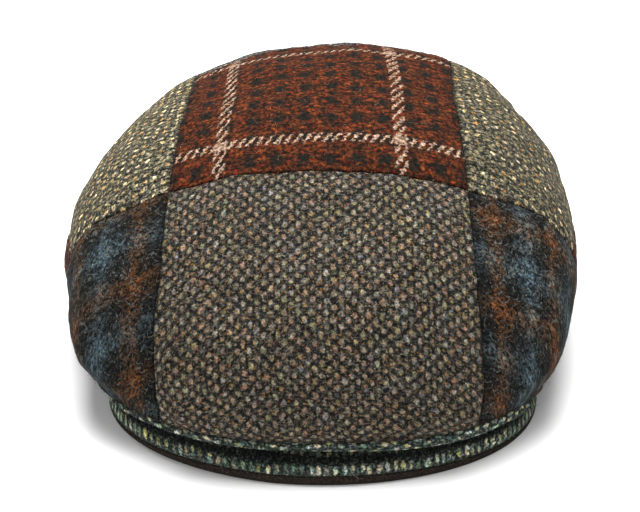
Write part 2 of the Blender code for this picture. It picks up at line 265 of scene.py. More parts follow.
def smooth_crown(turn, reach):
    """The crown without its sags. reach is 0 at the top and 1 at the rim."""
    fullest = oval(turn, crown_width / 2, crown_front, crown_back, side_power, front_power)
    bulge, steep, flat = (by_side(turn, *shares) for shares in zip(FRONT, SIDE, BACK))
    bulge = bulge * crown_height
    share = np.minimum(reach / bulge_reach, 1.0)
    out = bezier(0, flat, 1, 1, share)
    up = bezier(1, 1, steep, 0, share)
    top = np.array([0.0, crown_top_back, 0.0])
    upper = mix(top, fullest, out[..., None])
    upper[..., 2] = mix(bulge, crown_height, up)
    share = np.maximum((reach - bulge_reach) / (1 - bulge_reach), 0.0)
    low = lip_rise(turn)
    lower = mix(fullest, rim_oval(turn, fullest), bezier(0, 0, 1, 1, share)[..., None])
    drop = bulge - low
    lower[..., 2] = bezier(bulge, bulge - tuck_high * drop, low + tuck_low * drop, low, share)
    return np.where((reach <= bulge_reach)[..., None], upper, lower)


def crown_point(turn, reach):
    turn, reach = np.broadcast_arrays(np.asarray(turn, float), np.asarray(reach, float))
    point = smooth_crown(turn, reach)
    across = reach * np.sin(turn)
    along = -reach * np.cos(turn)
    amount = np.zeros_like(reach)
    for sag in SAGS:
        away = (across - sag.across) ** 2 + (along - sag.along) ** 2
        amount = amount + sag.out * np.exp(-away / sag.spread ** 2)
    heart = np.array([0.0, heart_back_share * crown_back, heart_up_share * crown_height])
    amount = amount * (1 - smooth_step(reach, bulge_reach, 1.0))
    return point + unit(point - heart) * (amount * crown_height)[..., None]


def crown_normal(turn, reach):
    reach = np.maximum(reach, 2 * normal_step)
    outward = crown_point(turn, reach) - crown_point(turn, reach - normal_step)
    around = crown_point(turn + normal_step, reach) - crown_point(turn - normal_step, reach)
    return unit(np.cross(outward, around))


def unit(vectors):
    length = np.linalg.norm(vectors, axis=-1, keepdims=True)
    return vectors / np.maximum(length, 1e-12)


def disc(across, along):
    """Turns a place on the square chart of patches into a turn and a reach."""
    across = across - seam_aside_share * (1 - across * across)
    a = across * np.sqrt(1 - along * along / 2)
    b = along * np.sqrt(1 - across * across / 2)
    return np.arctan2(a, -b), np.minimum(np.hypot(a, b), 1.0)


def long_seam_at(along):
    """The long seam between its stops, as a smooth curve through them."""
    stops = np.array(LONG_SEAM).T
    last = len(LONG_SEAM) - 1
    place = np.clip(np.searchsorted(stops[0], along, side="left") - 1, 0, last - 1)
    before = stops[:, np.maximum(place - 1, 0)]
    here = stops[:, place]
    after = stops[:, place + 1]
    beyond = stops[:, np.minimum(place + 2, last)]
    span = after[0] - here[0]
    share = np.clip((along - here[0]) / span, 0.0, 1.0)
    slope_here = (after[1] - before[1]) / (after[0] - before[0]) * span
    slope_after = (beyond[1] - here[1]) / (beyond[0] - here[0]) * span
    return bezier(here[1], here[1] + slope_here / 3, after[1] - slope_after / 3, after[1], share)


def side_seam_at(along):
    step = smooth_step(along, side_step_start, side_step_end)
    return mix(side_seam_front_share, side_seam_back_share, step)


def front_seam_at(across):
    step = smooth_step(across, front_step_start, front_step_end)
    return front_seam_share + front_seam_bend_share * across * across - front_seam_end_share * step


ACROSS_LINES = {
    "rim": np.ones_like,
    "side_seam": side_seam_at,
    "long_seam": long_seam_at,
    "other_long_seam": lambda along: -long_seam_at(along),
}
ALONG_LINES = {
    "front_rim": lambda across: np.full_like(across, -1.0),
    "front_seam": front_seam_at,
    "back_seam": lambda across: back_seam_share + back_seam_slant_share * across,
    "shoulder_seam": lambda across: np.full_like(across, shoulder_seam_share),
    "back_rim": np.ones_like,
}

# Each patch: its side of the cap, the lines that it lies between across and
# along the cap, and its weave. The slot is the material that it stands for.
Patch = namedtuple("Patch", "name side across along weave slot")
CENTRE = ("other_long_seam", "long_seam")
CORNER = ("long_seam", "rim")
SHOULDER = ("long_seam", "side_seam")
EDGE = ("side_seam", "rim")
FRONT_ROWS = ("front_rim", "front_seam")
TOP_ROWS = ("front_seam", "back_seam")
BACK_ROWS = ("back_seam", "back_rim")
SHOULDER_ROWS = ("front_seam", "shoulder_seam")
CORNER_ROWS = ("shoulder_seam", "back_rim")
PATCHES = [
    Patch("front_centre", 1, CENTRE, FRONT_ROWS, "barleycorn", "barleycorn_tweed"),
    Patch("front_left", -1, CORNER, FRONT_ROWS, "blue_check_left", "blue_check_tweed"),
    Patch("front_right", 1, CORNER, FRONT_ROWS, "blue_check_right", "blue_check_tweed"),
    Patch("top_centre", 1, CENTRE, TOP_ROWS, "rust_plaid", "rust_plaid_tweed"),
    Patch("top_left", -1, SHOULDER, SHOULDER_ROWS, "olive_left", "olive_tweed"),
    Patch("top_right", 1, SHOULDER, SHOULDER_ROWS, "olive_right", "olive_tweed"),
    Patch("side_left", -1, EDGE, SHOULDER_ROWS, "rust_plaid", "rust_plaid_tweed"),
    Patch("side_right", 1, EDGE, SHOULDER_ROWS, "rust_plaid", "rust_plaid_tweed"),
    Patch("back_centre", 1, CENTRE, BACK_ROWS, "grey", "grey_tweed"),
    Patch("back_left", -1, CORNER, CORNER_ROWS, "barleycorn", "barleycorn_tweed"),
    Patch("back_right", 1, CORNER, CORNER_ROWS, "blue_check_right", "blue_check_tweed"),
]


class Waves:
    """Smooth irregular numbers at places in space: many sines in mixed directions."""

    count = 28

    def __init__(self, seed, shortest, longest):
        draw = np.random.default_rng(seed)
        length = shortest * (longest / shortest) ** draw.random(self.count)
        self.push = unit(draw.normal(size=(self.count, 3))) * (2 * pi / length)[:, None]
        self.start = draw.random(self.count) * 2 * pi
        self.weight = length / np.sqrt((length ** 2).sum() / 2)

    def at(self, points):
        total = np.zeros(points.shape[:-1])
        for push, start, weight in zip(self.push, self.start, self.weight):
            total += weight * np.sin(points @ push + start)
        return total


SOFT_DENTS = Waves(seed=5, shortest=18 * MM, longest=60 * MM)
FINE_DENTS = Waves(seed=8, shortest=5 * MM, longest=14 * MM)
PUCKERS = Waves(seed=13, shortest=0.6 * pucker_pitch, longest=1.6 * pucker_pitch)

# Small swells (+) and a dip (-) of the cloth where the crown turns down at the back
Swell = namedtuple("Swell", "x y z spread out")
SWELLS = [
    Swell(0.020, 0.083, 0.097, 0.040, 0.0013),
    Swell(0.066, 0.072, 0.092, 0.018, 0.0010),
    Swell(0.093, 0.050, 0.081, 0.016, -0.0014),
]


def swell_at(points):
    total = np.zeros(points.shape[:-1])
    for swell in SWELLS:
        away = points - np.array([swell.x, swell.y, swell.z])
        total += swell.out * np.exp(-(away ** 2).sum(-1) / swell.spread ** 2)
    return total


def chart(patch, across_share, along_share):
    """A patch's own shares, turned into turns and reaches on the crown."""
    left, right = (ACROSS_LINES[name] for name in patch.across)
    near, far = (ALONG_LINES[name] for name in patch.along)
    along = np.zeros_like(along_share)
    for _ in range(chart_rounds):
        across = mix(left(along), right(along), across_share)
        along = mix(near(across), far(across), along_share)
    return disc(patch.side * across, along)


def run_along(points, axis):
    """How far each point of a grid lies along its line, from the line's start."""
    steps = np.linalg.norm(np.diff(points, axis=axis), axis=-1)
    padding = [(0, 0)] * steps.ndim
    padding[axis] = (1, 0)
    return np.pad(np.cumsum(steps, axis=axis), padding)


def cell_places(length):
    """Places along a line of cloth, closer together towards its two ends."""
    widths = [edge_cell]
    while widths[-1] * cell_growth < cell:
        widths.append(widths[-1] * cell_growth)
    inner = max(round((length - 2 * sum(widths)) / cell), 2)
    steps = widths + [cell] * inner + widths[::-1]
    places = np.concatenate([[0.0], np.cumsum(steps)])
    return places * length / places[-1]


def fine_shares(patch, axis):
    """Shares across or along a patch that give it cells of an even size."""
    probe = np.linspace(0, 1, seam_probes)
    middle = np.full_like(probe, 0.5)
    spots = chart(patch, probe, middle) if axis == 1 else chart(patch, middle, probe)
    run = run_along(crown_point(*spots), 0)
    return np.interp(cell_places(run[-1]), run, probe)


def seam_drops(points, patch):
    """How far the cloth falls towards its seams, and how near the next seam or lower edge is, for the
    painted shade there.
    """
    across_run = run_along(points, 1)
    along_run = run_along(points, 0)
    borders = [
        (patch.across[0], across_run),
        (patch.across[1], across_run[:, -1:] - across_run),
        (patch.along[0], along_run),
        (patch.along[1], along_run[-1:, :] - along_run),
    ]
    nearest = np.full(points.shape[:-1], 1.0)
    drop = np.zeros(points.shape[:-1])
    pucker = 1 + pucker_share * PUCKERS.at(points)
    for line, away in borders:
        if not line.endswith("seam"):
            nearest = np.minimum(nearest, away / rim_shade_stretch)
            continue
        crease = np.clip(1 - away / crease_width, 0, 1)
        dip = np.exp(-(away / dip_width) ** 1.5)
        drop = np.maximum(drop, crease_depth * crease ** 2 + dip_depth * dip * pucker)
        nearest = np.minimum(nearest, away)
    return drop, nearest


def close_gap(points, patch):
    """Pulls a patch's border points off the seam line by half the seam's gap."""
    moved = points.copy()
    edges = [(patch.across[0], np.s_[:, 0], np.s_[:, 1]), (patch.across[1], np.s_[:, -1], np.s_[:, -2]),
             (patch.along[0], np.s_[0], np.s_[1]), (patch.along[1], np.s_[-1], np.s_[-2])]
    for line, border, inside in edges:
        if line.endswith("seam"):
            moved[border] += unit(points[inside] - points[border]) * seam_half_gap
    return moved


def border_of(rows, columns):
    """Indices round the edge of a grid, once round."""
    index = np.arange(rows * columns).reshape(rows, columns)
    return np.concatenate([index[0], index[1:, -1], index[-1, -2::-1], index[-2:0:-1, 0]])


def ring_walls(here, after):
    """Quads between rings of indices and the rings after them, each closed on itself."""
    quads = np.stack([here, np.roll(here, -1, -1), np.roll(after, -1, -1), after], axis=-1)
    return quads.reshape(-1, 4)


def shell_faces(rows, columns, loops):
    """Faces of a closed shell: outer grid, inner grid, and loops round the border between them."""
    index = np.arange(rows * columns).reshape(rows, columns)
    corners = [index[:-1, :-1], index[:-1, 1:], index[1:, 1:], index[1:, :-1]]
    outer = np.stack(corners, axis=-1).reshape(-1, 4)
    inner = outer[:, ::-1] + rows * columns
    border = border_of(rows, columns)
    between = 2 * rows * columns + np.arange(loops * len(border)).reshape(loops, -1)
    rings = [border, *between, border + rows * columns]
    walls = [np.stack([upper, lower, np.roll(lower, -1), np.roll(upper, -1)], axis=-1)
             for upper, lower in zip(rings, rings[1:])]
    return np.concatenate([outer, inner] + walls).tolist()


def corner_curl(points):
    """How far the cloth curls up at the front left corner."""
    turn = np.arctan2(-points[:, 0], -points[:, 1])
    share = np.clip((turn - corner_start) / (corner_end - corner_start), 0, 1)
    return corner_lift * np.sin(pi * share) * (1 - smooth_step(points[:, 2], corner_low, corner_high))


def add_object(name, data):
    item = bpy.data.objects.new(name, data)
    bpy.context.scene.collection.objects.link(item)
    return item


def add_piece(name, points, faces, places, weave, node=None, sharp=patch_sharp):
    """A piece in a weave, given by its name, which may replace a node of the solids.

    Each point's place on the cloth is kept in it.
    """
    mesh = bpy.data.meshes.new(name)
    points = np.array(points).reshape(-1, 3)
    points[:, 2] += corner_curl(points)
    points[:, 1] += origin_shift
    mesh.from_pydata(points.tolist(), [], faces)
    mesh.attributes.new("cloth", "FLOAT_VECTOR", "POINT")
    mesh.attributes["cloth"].data.foreach_set("vector", np.asarray(places, np.float32).ravel())
    turned = bmesh.new()
    turned.from_mesh(mesh)
    bmesh.ops.recalc_face_normals(turned, faces=turned.faces)
    turned.to_mesh(mesh)
    turned.free()
    mesh.shade_smooth()
    mesh.set_sharp_from_angle(angle=sharp)
    mesh.materials.append(bpy.data.materials[weave])
    piece = add_object(name, mesh)
    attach(piece, "root")
    if node:
        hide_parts(node)


def fibre_paths(roots, outward, draw):
    """Bent paths of loose fibres. Most lie close to the cloth, and a few stand off it."""
    count = len(roots)
    side = unit(np.cross(outward, draw.normal(size=(count, 3))))
    bend = np.cross(outward, side)
    length = mix(fibre_shortest, fibre_longest, draw.random(count) ** 2)
    rise = length * mix(fibre_low_rise, fibre_high_rise, draw.random(count) ** 3)
    curl = length * draw.uniform(-fibre_curl, fibre_curl, count)
    steps = np.linspace(0, 1, fibre_stations)[None, :, None]
    path = roots[:, None] + side[:, None] * steps * length[:, None, None]
    path = path + outward[:, None] * np.sin(fibre_arch * steps) * rise[:, None, None]
    return path + bend[:, None] * np.sin(pi * steps) * curl[:, None, None]


def add_fuzz(name, roots, outward, slot):
    """Loose wool fibres on a grid of cloth, each a thin closed tube."""
    area = run_along(roots, 0)[-1].mean() * run_along(roots, 1)[:, -1].mean()
    draw = np.random.default_rng(sum(name.encode()))
    pick = draw.integers(0, roots[..., 0].size, round(area / fibre_area))
    outward = outward.reshape(-1, 3)[pick]
    path = fibre_paths(roots.reshape(-1, 3)[pick], outward, draw)
    count, stations = path.shape[:2]
    thick = mix(fibre_thinnest, fibre_thickest, draw.random((count, 1, 1, 1)))
    thick = thick * np.linspace(1, fibre_tip, stations)[None, :, None, None]
    ahead = unit(np.gradient(path, axis=1))
    up = unit(np.cross(ahead, outward[:, None]))
    angles = np.arange(fibre_sides)[:, None] * 2 * pi / fibre_sides
    spokes = np.cos(angles) * up[:, :, None] + np.sin(angles) * np.cross(ahead, up)[:, :, None]
    points = path[:, :, None] + spokes * thick
    points[..., 2] = np.maximum(points[..., 2], fibre_floor_gap)
    index = np.arange(count * stations * fibre_sides).reshape(count, stations, fibre_sides)
    sides = ring_walls(index[:, :-1], index[:, 1:])
    faces = sides.tolist() + index[:, 0, ::-1].tolist() + index[:, -1].tolist()
    places = np.zeros((count, stations * fibre_sides, 3))
    places[..., 0] = np.arange(count)[:, None]
    add_piece(name, points, faces, places, "fuzz_" + slot)


def cloth_run(points, patch):
    """Each point's place on the flat cloth, in millimetres from the patch's first seams."""
    across = run_along(points, 1)
    along = run_along(points, 0)
    if patch.across == CENTRE:
        across = across - across[:, across.shape[1] // 2][:, None]
    if patch.along == FRONT_ROWS:
        along = along[-1:, :] - along
    return across / MM, along / MM


def build_patch(patch):
    shares = np.meshgrid(fine_shares(patch, axis=1), fine_shares(patch, axis=0))
    turn, reach = chart(patch, *shares)
    base = crown_point(turn, reach)
    normal = crown_normal(turn, reach)
    drop, nearest = seam_drops(base, patch)
    at_rim = smooth_step(reach, dent_fade_start, 1.0)
    dents = SOFT_DENTS.at(base) * soft_dent_depth + FINE_DENTS.at(base) * fine_dent_depth
    dents = dents + swell_at(base)
    lift = (dents - drop) * (1 - at_rim)
    base = close_gap(base, patch)
    outer = base + normal * lift[..., None]
    thick = mix(cloth, hem, smooth_step(reach, hem_start, hem_full))
    level = unit(normal * np.array([1.0, 1.0, 0.0]))
    on_rim = reach >= rim_edge
    inward = np.where(on_rim[..., None], level, normal)
    inner = base - inward * (thick - np.minimum(dents, 0) * (1 - at_rim))[..., None]
    loops = [mix(outer, inner, share) for share in (hem_corner, 1 - hem_corner)]
    outer[..., 2] += np.where(on_rim, hem_round, 0.0)
    inner[..., 2] += np.where(on_rim, hem_round, 0.0)
    border = border_of(*reach.shape)
    points = np.concatenate([outer.reshape(-1, 3), inner.reshape(-1, 3)]
                            + [loop.reshape(-1, 3)[border] for loop in loops])
    faces = shell_faces(*reach.shape, len(loops))
    u, v = cloth_run(base, patch)
    places = np.stack([u, v, nearest / MM], axis=-1).reshape(-1, 3)
    places = np.concatenate([places, places] + [places[border]] * len(loops))
    add_piece("cloth_" + patch.name, points, faces, places, patch.weave,
              "patch_" + patch.name)
    add_fuzz("fuzz_" + patch.name, outer, normal, patch.slot)


def peak_line(turn, inward):
    """A place on the peak in plan: inward is 0 at its edge and 1 inside the cap."""
    outer_length = crown_front * front_tuck + peak_overhang - peak_root
    inner_length = outer_length - peak_depth
    half_width = peak_half_width - peak_end_width * inward
    length = mix(outer_length, inner_length, inward)
    x = half_width * np.sin(turn) + peak_aside
    return np.stack([x, -peak_root - length * np.cos(turn) ** peak_power, np.zeros_like(x)], axis=-1)


def lip_crossing(turn):
    """Where the crown's lower edge crosses the peak's line at this turn, and its own turn."""
    start = peak_line(turn, 0.0)
    line = peak_line(turn, 1.0) - start
    low = np.full_like(turn, -crossing_end_turn)
    high = -low
    for _ in range(crossing_rounds):
        middle = (low + high) / 2
        off = crown_point(middle, 1.0) - start
        ahead = line[..., 0] * off[..., 1] > line[..., 1] * off[..., 0]
        low = np.where(ahead, middle, low)
        high = np.where(ahead, high, middle)
    off = crown_point(low, 1.0) - start
    return (off * line)[..., :2].sum(-1) / (line ** 2)[..., :2].sum(-1), low


def nearest_lip_turn(point, guess):
    """The turn at which the crown's lower edge comes nearest to a point in plan."""
    low = guess - nearest_turn_range
    high = guess + nearest_turn_range
    for _ in range(nearest_rounds):
        first = mix(low, high, 0.4)
        second = mix(low, high, 0.6)
        lips = [crown_point(turn, 1.0) - point for turn in (first, second)]
        away = [np.linalg.norm(lip[..., :2], axis=-1) for lip in lips]
        nearer = away[0] < away[1]
        high = np.where(nearer, second, high)
        low = np.where(nearer, low, first)
    return low


def between_stops(inward, field):
    """One field of the peak's stops, at places between them."""
    places = [stop.inward for stop in PEAK_STOPS]
    return np.interp(inward, places, [getattr(stop, field) for stop in PEAK_STOPS])


def peak_height(turn, inward, layer):
    """Height of one layer of the peak: under, split or top."""
    share = between_stops(inward, layer)
    if layer == "split":
        share = mix(share, between_stops(inward, "under"), split_taper * np.sin(turn) ** 2)
    rise = between_stops(inward, "rise") * peak_rise
    nearest = nearest_lip_turn(peak_line(turn, inward), lip_crossing(turn)[1])
    lift = lip_rise(nearest) / lip_height
    return share * peak_stack * lift ** stack_power + rise * lift ** rise_power


def rounded(rings):
    """Cuts the corners of closed rings twice, station by station."""
    for _ in range(2):
        after = np.roll(rings, -1, axis=1)
        cuts = [mix(rings, after, share) for share in (corner_cut, 1 - corner_cut)]
        rings = np.stack(cuts, axis=2).reshape(len(rings), -1, 3)
    return rings


def swept_faces(stations, count):
    index = np.arange(stations * count).reshape(stations, count)
    quads = ring_walls(index[:-1], index[1:])[:, ::-1]
    return quads.tolist() + [index[0].tolist(), index[-1][::-1].tolist()]


def add_swept(name, rings, weave, node):
    """A closed body through rings, with its cloth measured along and round it."""
    along = run_along(rings, 0)
    along = along - along[len(along) // 2]
    round_it = run_along(rings, 1)
    places = np.stack([along / MM, round_it / MM, np.full(along.shape, no_seam_near)], axis=-1)
    faces = swept_faces(*rings.shape[:2])
    add_piece(name, rings, faces, places, weave, node, swept_sharp)


def add_edge_fuzz(name, rings, slot, shown_share):
    """Loose fibres on the part of a swept body that shows, the first share of each ring."""
    shown = rings[:, :round(rings.shape[1] * shown_share)]
    add_fuzz(name, shown, unit(shown - rings.mean(axis=1, keepdims=True)), slot)


def peak_lines(layer, gap=0.0):
    """Lines along one layer of the peak, one for each of its stops, from the edge inwards."""
    turns = np.linspace(-peak_end_turn, peak_end_turn, peak_stations)
    lines = []
    for stop in PEAK_STOPS:
        line = peak_line(turns, stop.inward)
        line[:, 2] = peak_height(turns, stop.inward, layer) + gap
        lines.append(line)
    return lines


def peak_rings(bottom, top):
    """Rings round a body of the peak, up over its top and back below it."""
    return rounded(np.stack(bottom[:1] + top + bottom[:0:-1], axis=1))


def build_peak():
    cover = peak_rings(peak_lines("split", gap=rest_gap), peak_lines("top"))
    under = peak_rings(peak_lines("under"), peak_lines("split"))
    under[..., 2] = np.maximum(under[..., 2], 0.0)
    add_swept("cloth_peak", cover, "green_peak", "peak")
    add_edge_fuzz("fuzz_peak", cover, "green_tweed", shown_share=0.4)
    add_swept("cloth_peak_underside", under, "dark_brown", "peak_underside")


def build_strip():
    turns = np.linspace(-strip_end_turn, strip_end_turn, strip_stations)
    crossing, lip_turn = lip_crossing(turns)
    length = np.linalg.norm(peak_line(turns, 1.0) - peak_line(turns, 0.0), axis=-1)
    lift = lip_rise(lip_turn) / lip_height
    rings = []
    for stop in STRIP_STOPS:
        up = stop.up - stop.skew * np.sin(turns)
        roll = strip_roll * np.sin(pi * up) if stop.inward == 0 else 0.0
        inward = crossing + (stop.inward * strip_depth - roll) / length
        point = peak_line(turns, inward)
        low = peak_height(turns, inward, "top") + rest_gap
        low = low + (1 - stop.inward) * strip_drop * lift
        high = lip_rise(nearest_lip_turn(point, lip_turn)) - rest_gap * (1 + stop.inward)
        point[:, 2] = mix(low, high, up)
        rings.append(point)
    rings = rounded(np.stack(rings, axis=1))
    add_swept("cloth_front_facing", rings, "green_strip", "front_facing")
    add_edge_fuzz("fuzz_front_facing", rings, "green_tweed", shown_share=0.5)


def operation(kind):
    """A method that works out one more number from a Value and what it is given."""
    return lambda value, *others: value.weave.math(kind, value, *others)


class Value:
    """A number that a material works out, with the usual arithmetic."""

    def __init__(self, weave, socket):
        self.weave = weave
        self.socket = socket

    __add__ = operation("ADD")
    __radd__ = __add__
    __sub__ = operation("SUBTRACT")
    __mul__ = operation("MULTIPLY")
    __truediv__ = operation("DIVIDE")
    floor = operation("FLOOR")
    fract = operation("FRACT")
    size = operation("ABSOLUTE")
    above = operation("GREATER_THAN")
    at_least = operation("MAXIMUM")
    at_most = operation("MINIMUM")

    def __rsub__(self, other):
        return self.weave.math("SUBTRACT", other, self)

    def step(self, low, high):
        """0 below low, 1 above high, smooth between. With low above high it falls instead."""
        return self.weave.ranged(self, low, high)


class Weave:
    """Builds one cloth material from short calls. Lengths are millimetres of cloth."""

    def __init__(self, name):
        material = bpy.data.materials.new(name)
        material.use_nodes = True
        self.tree = material.node_tree
        self.shader = self.tree.nodes["Principled BSDF"]
        place = self.add("Attribute", attribute_name="cloth").outputs["Vector"]
        # edge, the third part of the cloth's place, is how near the next seam or lower edge is; it sets the
        # painted shade there
        self.u, self.v, self.edge = (Value(self, part) for part in self.add("SeparateXYZ", place).outputs)

    def add(self, kind, *values, **settings):
        """A node with its settings, and with values for its first inputs."""
        node = self.tree.nodes.new("ShaderNode" + kind)
        for setting, value in settings.items():
            setattr(node, setting, value)
        for socket, value in zip(node.inputs, values):
            self.feed(socket, value)
        return node

    def feed(self, socket, value):
        """Links an input to what works it out, or sets it to a number or a colour."""
        if isinstance(value, Value):
            value = value.socket
        if isinstance(value, bpy.types.NodeSocket):
            self.tree.links.new(value, socket)
        elif isinstance(value, tuple) and len(value) == 3 and socket.type == "RGBA":
            socket.default_value = (*value, 1.0)
        else:
            socket.default_value = value

    def fill(self, node, inputs):
        """Feeds a node's inputs by their names."""
        for name, value in inputs.items():
            self.feed(node.inputs[name], value)

    def math(self, kind, *values):
        return Value(self, self.add("Math", *values, operation=kind).outputs[0])

    def vector(self, kind, *values):
        return self.add("VectorMath", *values, operation=kind).outputs[0]

    def ranged(self, value, low, high, start=0.0, end=1.0):
        """Takes low to start and high to end, smooth between them and level beyond."""
        node = self.add("MapRange", value, low, high, start, end, interpolation_type="SMOOTHSTEP")
        return Value(self, node.outputs[0])

    def place(self, x, y, z):
        return self.add("CombineXYZ", x, y, z).outputs[0]

    def noise(self, x, y, seed, detail):
        """Smooth noise around 0.5, and as a colour three of them."""
        node = self.add("TexNoise", self.place(x, y, seed), noise_dimensions="3D", normalize=True)
        self.fill(node, {"Scale": 1.0, "Detail": detail, "Roughness": 0.65})
        return node

    def drift(self, width, height, seed, detail):
        """The same, over a given width and height of cloth."""
        return Value(self, self.noise(self.u / width, self.v / height, seed, detail).outputs[0])

    def sway(self, width, seed, detail=1.0):
        """A smooth drift about 0, mostly within 0.2 of it, over a given width of cloth."""
        return self.drift(width, width, seed, detail) - 0.5

    def blotches(self, width, height, seed, detail=1.0):
        """Blotches of a given width and height, spread evenly from 0 to 1."""
        return self.drift(width, height, seed, detail).step(0.3, 0.7)

    def curls(self, width, seed, thick):
        """Thin bent fibres, as on brushed wool: 1 on a fibre and 0 between fibres."""
        bend = self.sway(width * 1.4, seed, detail=0.0) * 2.2
        node = self.noise(self.u / width + bend, self.v / width - bend, seed + 0.5, detail=0.0)
        return (Value(self, node.outputs[0]) - 0.5).size().step(thick, 0.0)

    def chance(self, x, y=0.0, seed=0.0):
        """An even random number from 0 to 1 for each whole x and y."""
        node = self.add("TexWhiteNoise", self.place(x, y, seed), noise_dimensions="3D")
        return Value(self, node.outputs["Value"])

    def palette(self, share, colours, sharp=False):
        """A colour from a row of colours, picked by a share from 0 to 1. Sharp ones don't mix."""
        node = self.add("ValToRGB", share)
        ramp = node.color_ramp
        ramp.interpolation = "CONSTANT" if sharp else "LINEAR"
        steps = len(colours) if sharp else len(colours) - 1
        for index, colour in enumerate(colours):
            place = index / steps
            stop = ramp.elements[index] if index < 2 else ramp.elements.new(place)
            stop.position = place
            stop.color = (*tone(*colour), 1.0)
        return node.outputs[0]

    def blend(self, share, first, second, kind="MIX"):
        node = self.add("Mix", share, data_type="RGBA", blend_type=kind)
        self.feed(node.inputs[6], first)
        self.feed(node.inputs[7], second)
        return node.outputs[2]

    def dimmed(self, colour, share):
        node = self.add("VectorMath", colour, operation="SCALE")
        self.feed(node.inputs["Scale"], share)
        return node.outputs[0]

    def tinted(self, colour, width, seed, strength):
        """Shifts a colour to and fro in tint, in blotches of a given width."""
        drift = self.noise(self.u / width, self.v / width, seed, detail=1.0).outputs["Color"]
        reach = (strength * 0.6, strength * 0.35, strength * 1.1)
        factor = self.vector("MULTIPLY_ADD", drift, reach, tuple(1 - part / 2 for part in reach))
        return self.vector("MULTIPLY", colour, self.vector("MAXIMUM", factor, (0.1,) * 3))

    def wool(self, colour, depth=0.75, hairs=0.6, grit_width=1.05):
        """Breaks a colour up into fine fibres, and keeps their relief for the bump."""
        grit = self.blotches(grit_width, grit_width, seed=21.0, detail=1.5)
        curl = self.curls(2.1, seed=23.0, thick=0.06)
        self.relief = grit * 0.6 + curl * 0.4
        light = grit * (2 * depth) + (1 - depth) + curl * hairs
        return self.dimmed(self.tinted(colour, 1.5, seed=25.0, strength=0.8), light)

    def strewn(self, colour, fibres, width, seed, strength):
        """Lays thin bent fibres of other colours over a cloth."""
        hair = self.curls(width, seed, thick=0.05) * self.blotches(1.5, 1.5, seed + 1).step(0.3, 0.6)
        pick = self.blotches(1.6, 1.6, seed + 2)
        return self.blend(hair * strength, colour, self.palette(pick, fibres))

    def specked(self, colour, specks, width, seed, strength):
        """Sprinkles small flecks of strong colours over a cloth."""
        mask = self.blotches(width, width, seed).step(0.84, 0.96)
        pick = self.blotches(width * 1.5, width * 1.5, seed + 1)
        return self.blend(mask * strength, colour, self.palette(pick, specks, sharp=True))

    def finish(self, colour, height, relief, gain, sheen=0.01):
        """Sets colour, painted shade beside seams and the lower edge, and bump. height is from 0 to 1,
        relief in millimetres.
        """
        shade = self.ranged(self.edge, 0.0, painted_shade_width, painted_seam_shade, 1.0)
        bump = self.add("Bump")
        self.fill(bump, {"Height": height, "Distance": relief * MM, "Strength": 1.0})
        self.fill(self.shader, {
            "Base Color": self.dimmed(colour, shade * gain),
            "Normal": bump.outputs[0],
            "Roughness": 0.95,
            "Specular IOR Level": 0.1,
            "Sheen Weight": sheen,
            "Sheen Roughness": 0.6,
        })


def tone(*levels):
    """A colour as a screen shows it, from 0 to 255, made linear."""
    shares = [level / 255 for level in levels]
    return tuple(share / 12.92 if share <= 0.04045 else ((share + 0.055) / 1.055) ** 2.4 for share in shares)


# Painted shade: the cloth's colour is darkened close to a seam, and in a wider band beside the lower edge,
# where the cloth turns into a seam or folds under
painted_seam_shade = 0.45
painted_shade_width = 1.3       # millimetres

# The knots of a tweed, in millimetres: pitch from column to column, repeat down
# a column, the knot's half sizes, its stray from its place, and how far each
# column starts below the one before, as a share of the repeat. dim is the share
# of knots that hardly show, ground_width the length of the ground's flecks.
Knots = namedtuple("Knots", "pitch repeat half_width half_height stray stagger ground_width start dim",
                   defaults=(0.0, 0.0))


